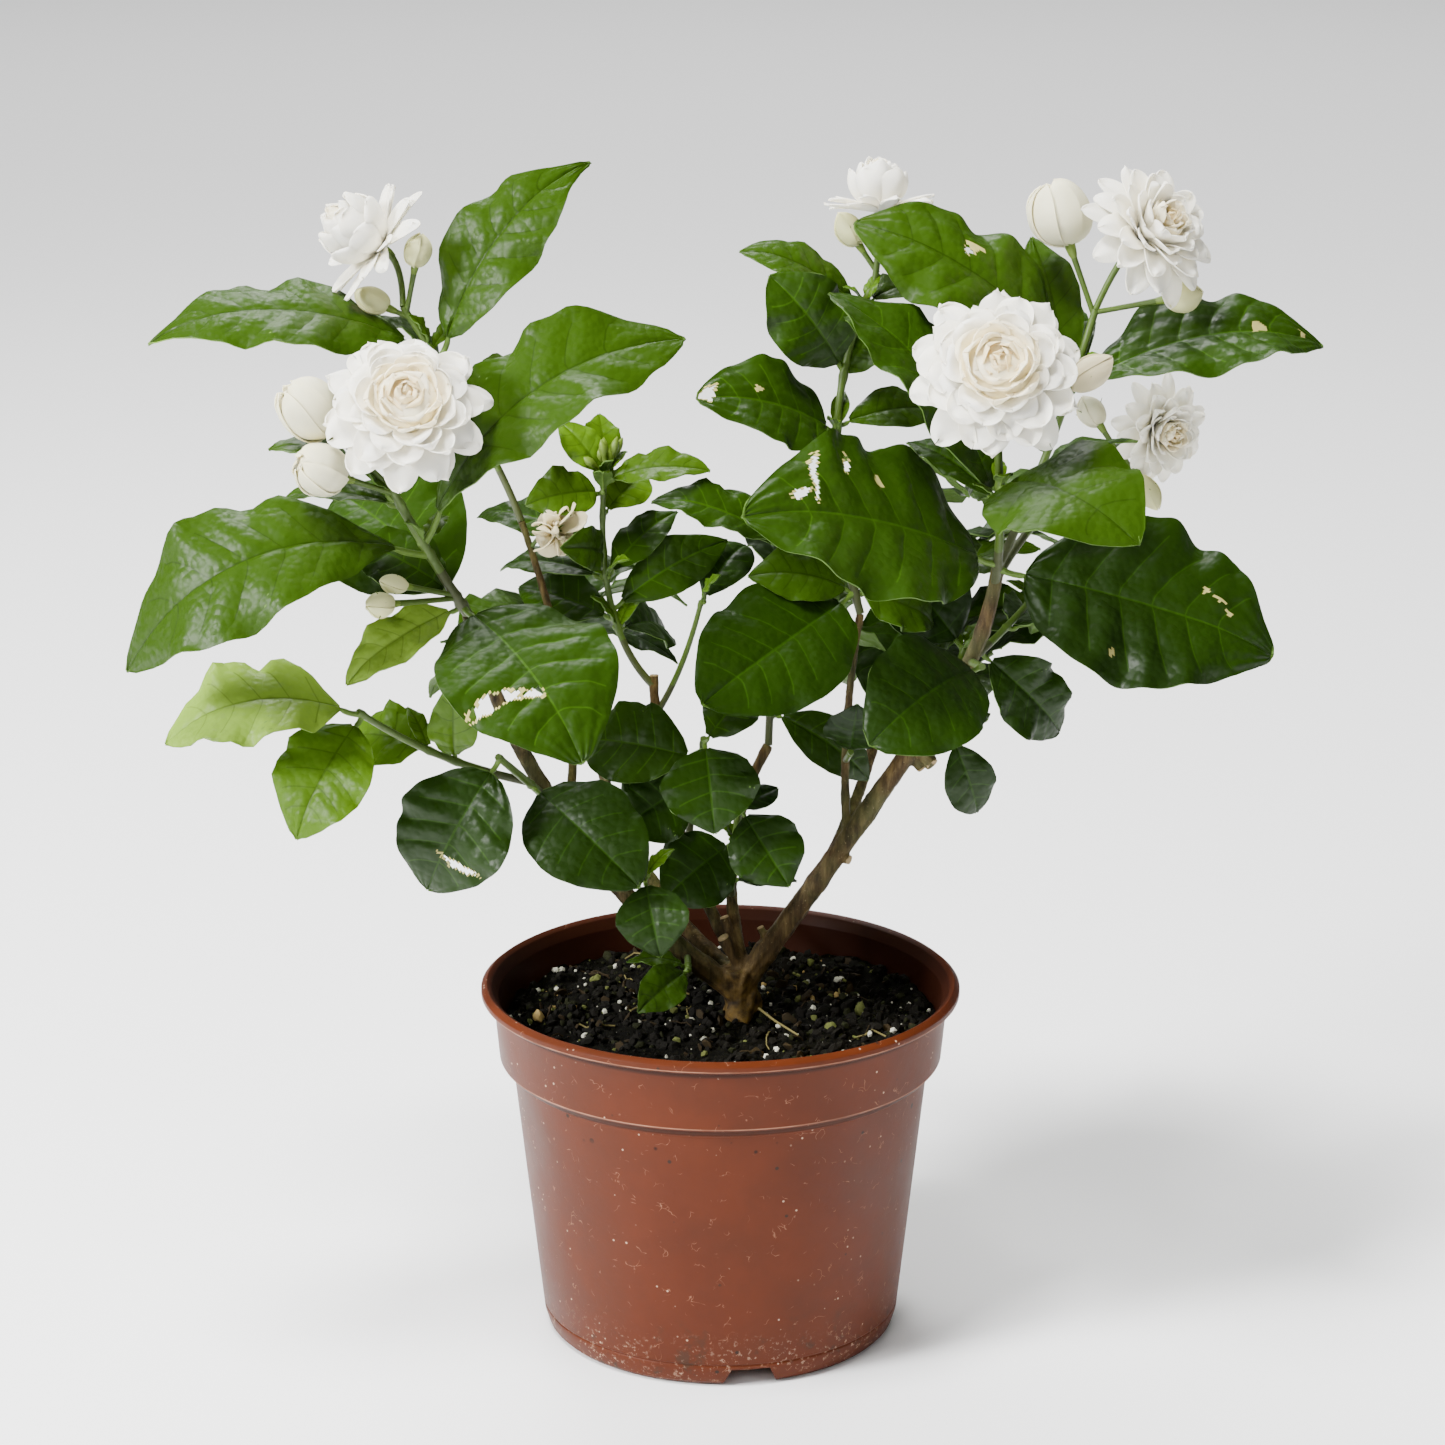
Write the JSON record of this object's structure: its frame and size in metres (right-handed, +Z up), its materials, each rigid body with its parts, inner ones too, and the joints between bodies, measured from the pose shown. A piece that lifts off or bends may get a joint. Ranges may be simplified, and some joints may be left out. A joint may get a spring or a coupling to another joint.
{
  "type": "potted duke of tuscany jasmine",
  "caption": "Young flowering shrub with a short gnarled trunk, leaning woody boughs, glossy leaves and full double white blooms, growing in a round terracotta-coloured plastic pot.",
  "frame": {"origin": "centre of the pot's flat underside, on the plane it stands on", "axes": "+Z up, -Y towards the front as pictured, +X to the viewer's right"},
  "size_m": [0.3569, 0.2319, 0.3662],
  "materials": {
    "pot_plastic": "satin terracotta-coloured plastic",
    "potting_mix": "rough moist potting mix with white perlite",
    "bark": "grey-brown bark, ridged on the older wood",
    "foliage": "glossy deep green leaves, matte cream-white petals"
  },
  "bodies": {
    "root": {"pot": "pot_plastic", "potting_mix": "potting_mix", "trunk": "bark", "left_bough": "bark", "right_bough": "bark", "right_upper_bough": "bark", "riser": "bark", "left_riser": "bark", "centre_left_bough": "bark", "centre_bough": "bark", "back_left_bough": "bark", "back_right_bough": "bark", "left_bloom_shoot": "foliage", "left_low_shoot": "foliage", "left_front_sprig": "foliage", "upper_left_shoot": "foliage", "centre_left_shoot": "foliage", "bare_twig": "foliage", "centre_shoot": "foliage", "centre_low_sprig": "foliage", "hanging_sprig": "foliage", "low_front_sprig": "foliage", "basal_sprig": "foliage", "riser_sprig": "foliage", "top_centre_shoot": "foliage", "right_front_shoot": "foliage", "right_top_shoot": "foliage", "right_back_shoot": "foliage", "right_mid_sprig": "foliage", "right_inner_sprig": "foliage", "right_low_shoot": "foliage", "knob_sprig": "foliage", "back_left_shoot": "foliage", "back_right_shoot": "foliage"}
  },
  "joints": []
}
